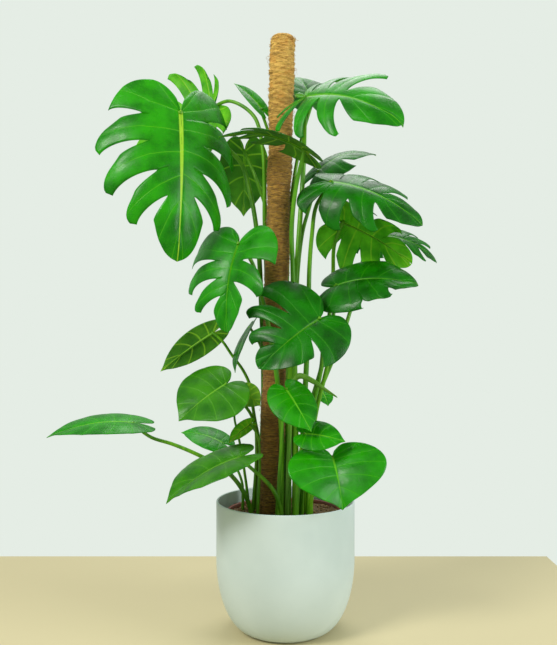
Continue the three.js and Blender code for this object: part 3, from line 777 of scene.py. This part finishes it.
def make_new_leaf():
    """The newest leaf, rolled into a spike, with the edge of its roll standing proud."""
    centres, radii = stalk_rings("new_leaf")
    count, edge_start = 120, 84
    places, widths = [], []
    for step in range(count + 1):
        share = step / count
        at = share * (len(radii) - 1)
        i = min(int(at), len(radii) - 2)
        places.append(spline(centres, share))
        widths.append(radii[i] + (radii[i + 1] - radii[i]) * (at - i))
    edge = []
    for step in range(edge_start, count):
        share = (step - edge_start) / (count - edge_start)
        angle = 5.5 * share
        heading = (places[step] - places[step - 1]).normalized()
        sideways = heading.cross(UP).normalized()
        over = heading.cross(sideways)
        edge.append(places[step] + (sideways * math.cos(angle) + over * math.sin(angle)) * widths[step] * 0.9)
    add_piece(
        "new_leaf_spike",
        tubes([(places, widths), (edge, [0.9 * MM] * len(edge))], 4),
        "petiole",
        [YOUNG_STALK],
        "new_leaf",
    )


# ---- The pole ----


def pole_line():
    """The centre of the coir wrap at its foot, its direction, its length and its radius."""
    low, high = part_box("coir_wrap")
    radius = (high.y - low.y) / 2
    rise = high.z - low.z
    slope = (high.x - low.x - 2 * radius) / rise
    foot = Vector((low.x + radius, (low.y + high.y) / 2, low.z))
    top = Vector((foot.x + slope * rise, foot.y, high.z))
    return foot, (top - foot).normalized(), (top - foot).length, radius


def coir_depth(turn, height, length):
    """How far the wound coir stands out from its mean radius at a place on the pole."""
    here = Vector((math.cos(turn), math.sin(turn), 0))
    wind = height / (10 * MM) + turn / (2 * math.pi) + 0.9 * noise.noise(here * 0.8 + UP * height * 25)
    ridge = abs(math.sin(math.pi * wind)) ** 0.6
    strength = 0.8 + 0.7 * ramp(height / length, 0.75, 0.95)
    lumps = noise.noise(here * 0.7 + UP * height * 16)
    tufts = noise.noise(here * 3.2 + UP * height * 120)
    fuzz = noise.noise(here * 9 + UP * height * 420)
    thick = 1.0 * ramp(height / length, 0.78, 0.9)
    return (2.0 * strength * (ridge - 0.6) + 2.2 * lumps + 1.0 * tufts + 0.45 * fuzz + thick) * MM


def make_coir():
    """The wound coir as a lumpy closed sleeve, and the loose fibres that stand out from it."""
    foot, direction, length, radius = pole_line()
    around, rows, dome = 120, 520, 14 * MM
    body = 0.965  # the share of the rows below the domed top
    lean = UP.rotation_difference(direction)
    bm = bmesh.new()
    for vert in bmesh.ops.create_grid(bm, x_segments=around, y_segments=rows, size=0.5)["verts"]:
        turn = (vert.co.x + 0.5) * 2 * math.pi
        share = vert.co.y + 0.5
        if share < body:
            height, width = share / body * (length - dome), radius
        else:
            angle = (share - body) / (1 - body) * math.pi / 2
            height = length - dome + dome * math.sin(angle) ** 0.8
            width = radius * math.cos(angle) ** 0.55
        width = max(0, width + coir_depth(turn, height, length) * min(1, width / (radius * 0.5)))
        vert.co = foot + lean @ Vector((width * math.cos(turn), width * math.sin(turn), height))
    bmesh.ops.remove_doubles(bm, verts=bm.verts, dist=1e-5)
    bmesh.ops.recalc_face_normals(bm, faces=bm.faces)
    mesh = mesh_from(bm, "coir")
    add_piece("coir_winding", mesh, "coir", [coir_finish("coir_wound", 0.0)], "coir_wrap")

    chance = random.Random(11)
    wound, on_top, above_soil = 1500, 160, 0.165
    fibres = []
    for _ in range(wound):
        height = chance.uniform(above_soil, 1) * length
        turn = chance.uniform(0, 2 * math.pi)
        reach = chance.uniform(0.35, 1.5)
        climb = chance.gauss(0, 5) * MM
        lift = abs(chance.gauss(0, 1.6)) * MM
        loose = chance.random() < 0.12
        path = []
        for step in range(7):
            share = step / 6
            angle = turn + reach * share
            up = min(height + climb * share, length - 6 * MM)
            out = radius + 0.2 * MM + coir_depth(angle, up, length) + lift * math.sin(math.pi * share)
            if loose:
                out += chance.uniform(2, 7) * MM * share**2
            path.append(foot + lean @ Vector((out * math.cos(angle), out * math.sin(angle), up)))
        fibres.append((path, [chance.uniform(0.14, 0.3) * MM] * 7))
    for _ in range(on_top):
        angle = chance.uniform(0, 2 * math.pi)
        out = radius * math.sqrt(chance.random()) * 0.85
        heading = chance.uniform(0, 2 * math.pi)
        top = length - dome + dome * math.cos(out / radius * 1.4) ** 0.5
        path = []
        for step in range(5):
            side = Vector((math.cos(heading), math.sin(heading), 0)) * (step - 2) * 4 * MM
            spot = Vector((out * math.cos(angle), out * math.sin(angle), 0)) + side
            drop = 3.85 * MM * (spot.length / radius) ** 3
            path.append(foot + lean @ (spot + UP * (top + 1.2 * MM - drop)))
        fibres.append((path, [0.22 * MM] * 5))
    add_piece("coir_fibres", tubes(fibres, 0), "coir", [coir_finish("coir_loose", 0.22)])


# ---- The pots and the compost ----


def make_planter():
    """The planter's wall, with a rounded lip and a softly rounded foot."""
    low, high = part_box("planter")
    radius, height = (high.x - low.x) / 2, high.z
    foot, curve, wall, floor = 66 * MM, 130 * MM, 3.6 * MM, 8 * MM

    def outer(level):
        fall = max(0, 1 - level / curve)
        return foot + (radius - foot) * math.sqrt(max(0, 1 - fall * fall))

    levels = [curve * (1 - math.cos(math.radians(angle))) for angle in range(4, 91, 3)]
    outside = [(foot - 2 * MM, 0), (foot + 1.5 * MM, 0.5 * MM)] + [(outer(level), level) for level in levels]
    outside += [(radius, curve + (height - curve) * k / 6) for k in range(1, 6)]
    outside.append((radius, height - 2.2 * MM))
    lip = []
    for degrees in range(15, 180, 15):
        angle = math.radians(degrees)
        across = radius - wall / 2 + wall / 2 * math.cos(angle)
        lip.append((across, height - 1.8 * MM + 1.8 * MM * math.sin(angle)))
    inside = [(outer(level) - wall, level) for level in reversed(levels) if level > floor + 4 * MM]
    inside = [(radius - wall, height - 2.2 * MM), (radius - wall, curve * 1.3)] + inside
    profile = [(0, 0)] + outside + lip + inside + [(outer(floor) - wall - 3 * MM, floor), (0, floor)]
    add_piece("planter_shell", spun(profile, 144, "planter"), "planter", [planter_finish()], "planter")


def make_nursery_pot():
    """The nursery pot: a thin tapered wall under a rolled rim band."""
    low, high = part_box("nursery_pot")
    rim, top, floor = (high.x - low.x) / 2, high.z, low.z
    lip, band, wall, foot = 3 * MM, 8 * MM, 1.8 * MM, 76.36 * MM
    radius = rim - lip
    profile = [
        (0, floor), (foot - 1 * MM, floor), (foot, floor + 1 * MM), (radius, top - band - 1 * MM),
        (rim - 0.8 * MM, top - band), (rim, top - band + 0.8 * MM), (rim, top - 1 * MM),
        (rim - 0.8 * MM, top), (radius - wall + 1 * MM, top), (radius - wall, top - 1 * MM),
        (radius - wall, top - band),
        (foot - wall, floor + wall), (0, floor + wall),
    ]
    shell = spun(profile, 120, "nursery")
    add_piece("nursery_pot_shell", shell, "nursery_pot", [nursery_finish()], "nursery_pot")


def compost_level(place, level):
    """The height of the lumpy compost at a place."""
    spot = Vector((place.x, place.y, 0))
    lumps = 3.2 * wobble(spot, 0.024, 3) + 1.8 * wobble(spot, 0.009, 4) + 0.8 * wobble(spot, 0.004, 5)
    return level + (lumps - 0.6) * MM


def make_compost():
    """The compost's lumpy surface over a closed body, strewn with crumbs."""
    low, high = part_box("soil")
    radius, level = (high.x - low.x) / 2 - 0.3 * MM, high.z - 1.5 * MM
    rings, sides, crumbs = 90, 150, 620
    sag = 2.2 * MM  # how far the surface falls from its middle to its rim
    underside, taper = low.z + 30 * MM, 0.78  # of the body below the surface
    bm = bmesh.new()
    line = [bm.verts.new((radius * k / rings, 0, level)) for k in range(rings + 1)]
    edges = [bm.edges.new(pair) for pair in zip(line, line[1:])]
    bmesh.ops.spin(
        bm, geom=line + edges, axis=UP, cent=(0, 0, 0), angle=2 * math.pi, steps=sides, use_merge=True
    )
    bmesh.ops.remove_doubles(bm, verts=bm.verts, dist=1e-6)
    for vert in bm.verts:
        vert.co.z = compost_level(vert.co, level - sag * (vert.co.xy.length / radius) ** 2)
    rim = [edge for edge in bm.edges if edge.is_boundary]
    skirt = bmesh.ops.extrude_edge_only(bm, edges=rim)["geom"]
    corners = [item for item in skirt if isinstance(item, bmesh.types.BMVert)]
    for vert in corners:
        vert.co.z = underside
        vert.co.xy = vert.co.xy * taper
    bmesh.ops.contextual_create(bm, geom=[item for item in skirt if isinstance(item, bmesh.types.BMEdge)])
    bmesh.ops.recalc_face_normals(bm, faces=bm.faces)
    dark = compost_finish("compost_dark", srgb(40, 30, 14), srgb(138, 108, 64))
    add_piece("compost_bed", mesh_from(bm, "compost"), "compost", [dark], "soil")

    chance = random.Random(5)
    bm = bmesh.new()
    for _ in range(crumbs):
        across = radius * math.sqrt(chance.random()) * 0.97
        turn = chance.uniform(0, 2 * math.pi)
        spot = Vector((across * math.cos(turn), across * math.sin(turn), 0))
        size = chance.choice((1.4, 1.8, 2.4, 3.2, 4.4)) * MM
        lump = bmesh.ops.create_icosphere(bm, subdivisions=1, radius=size)["verts"]
        sizes = (chance.uniform(0.7, 1.5), chance.uniform(0.6, 1.0), chance.uniform(0.35, 0.7))
        shape = Matrix.Diagonal(sizes)
        turned = Matrix.Rotation(chance.uniform(0, 6.3), 3, "Z")
        spin = turned @ Matrix.Rotation(chance.uniform(-0.5, 0.5), 3, "X")
        ground = compost_level(spot, level - sag * (across / radius) ** 2)
        for vert in lump:
            vert.co *= 1 + chance.uniform(-0.22, 0.22)
            vert.co = spin @ shape @ vert.co + Vector((spot.x, spot.y, ground + size * 0.2))
    light = compost_finish("compost_crumb", srgb(62, 46, 22), srgb(172, 136, 84))
    add_piece("compost_crumbs", mesh_from(bm, "crumbs"), "compost", [light])


# ---- The scene ----


def make_stage():
    """A plain pale floor."""
    bm = bmesh.new()
    bmesh.ops.create_grid(bm, x_segments=1, y_segments=1, size=0.5)
    bmesh.ops.scale(bm, vec=(1.3, 1.3, 1), verts=bm.verts)
    bmesh.ops.translate(bm, vec=(-0.03, -0.2, 0), verts=bm.verts)
    floor = bpy.data.objects.new("floor", mesh_from(bm, "floor"))
    bpy.context.scene.collection.objects.link(floor)
    finish, _, shader = new_finish("floor_pale", Roughness=0.6)
    shader.inputs["Base Color"].default_value = srgb(204, 193, 152)
    floor.data.materials.append(finish)


def area_light(name, place, aim, size, power, colour):
    """A square lamp, with its power in watts, turned towards a place."""
    light = bpy.data.lights.new(name, "AREA")
    light.size = size
    light.energy = power
    light.color = colour
    lamp = bpy.data.objects.new(name, light)
    lamp.location = place
    lamp.rotation_euler = (Vector(aim) - Vector(place)).to_track_quat("-Z", "Y").to_euler()
    bpy.context.scene.collection.objects.link(lamp)


def make_lights():
    """Soft light from all round, with three broad lamps."""
    world = bpy.data.worlds.new("studio")
    bpy.context.scene.world = world
    world.use_nodes = True
    nodes = Nodes(world.node_tree)
    background = world.node_tree.nodes["Background"]
    background.inputs["Color"].default_value = srgb(229, 237, 229)
    seen = nodes.add("ShaderNodeLightPath").outputs["Is Camera Ray"]
    nodes.put(background.inputs["Strength"], nodes.fade(seen, 0.0, 1.0, 0.55, 1.0))
    area_light("key", (-1.7, -1.7, 2.1), (0, 0, 0.6), 0.9, 60, (1.0, 0.98, 0.94))
    area_light("fill", (2.2, -1.1, 1.1), (0, 0, 0.5), 1.3, 38, (0.94, 0.98, 1.0))
    area_light("top", (0.2, 1.2, 2.8), (0, 0, 0.7), 1.6, 30, (1.0, 1.0, 1.0))


def make_camera():
    """A level camera in front of the plant."""
    camera = bpy.data.cameras.new("camera")
    camera.lens = 46.1
    eye = bpy.data.objects.new("camera", camera)
    eye.location = (-0.0125, -1.497, 0.560)
    eye.rotation_euler = (math.radians(90 - 0.24), 0, 0)
    bpy.context.scene.collection.objects.link(eye)
    bpy.context.scene.camera = eye
    bpy.context.scene.view_settings.view_transform = "Standard"


make_camera()
make_stage()
make_lights()
make_planter()
make_nursery_pot()
make_compost()
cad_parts["pole_core"].data.materials.clear()
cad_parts["pole_core"].data.materials.append(wood_finish())
make_coir()
for name, facts in BLADES.items():
    make_leaf(name, facts)
make_new_leaf()
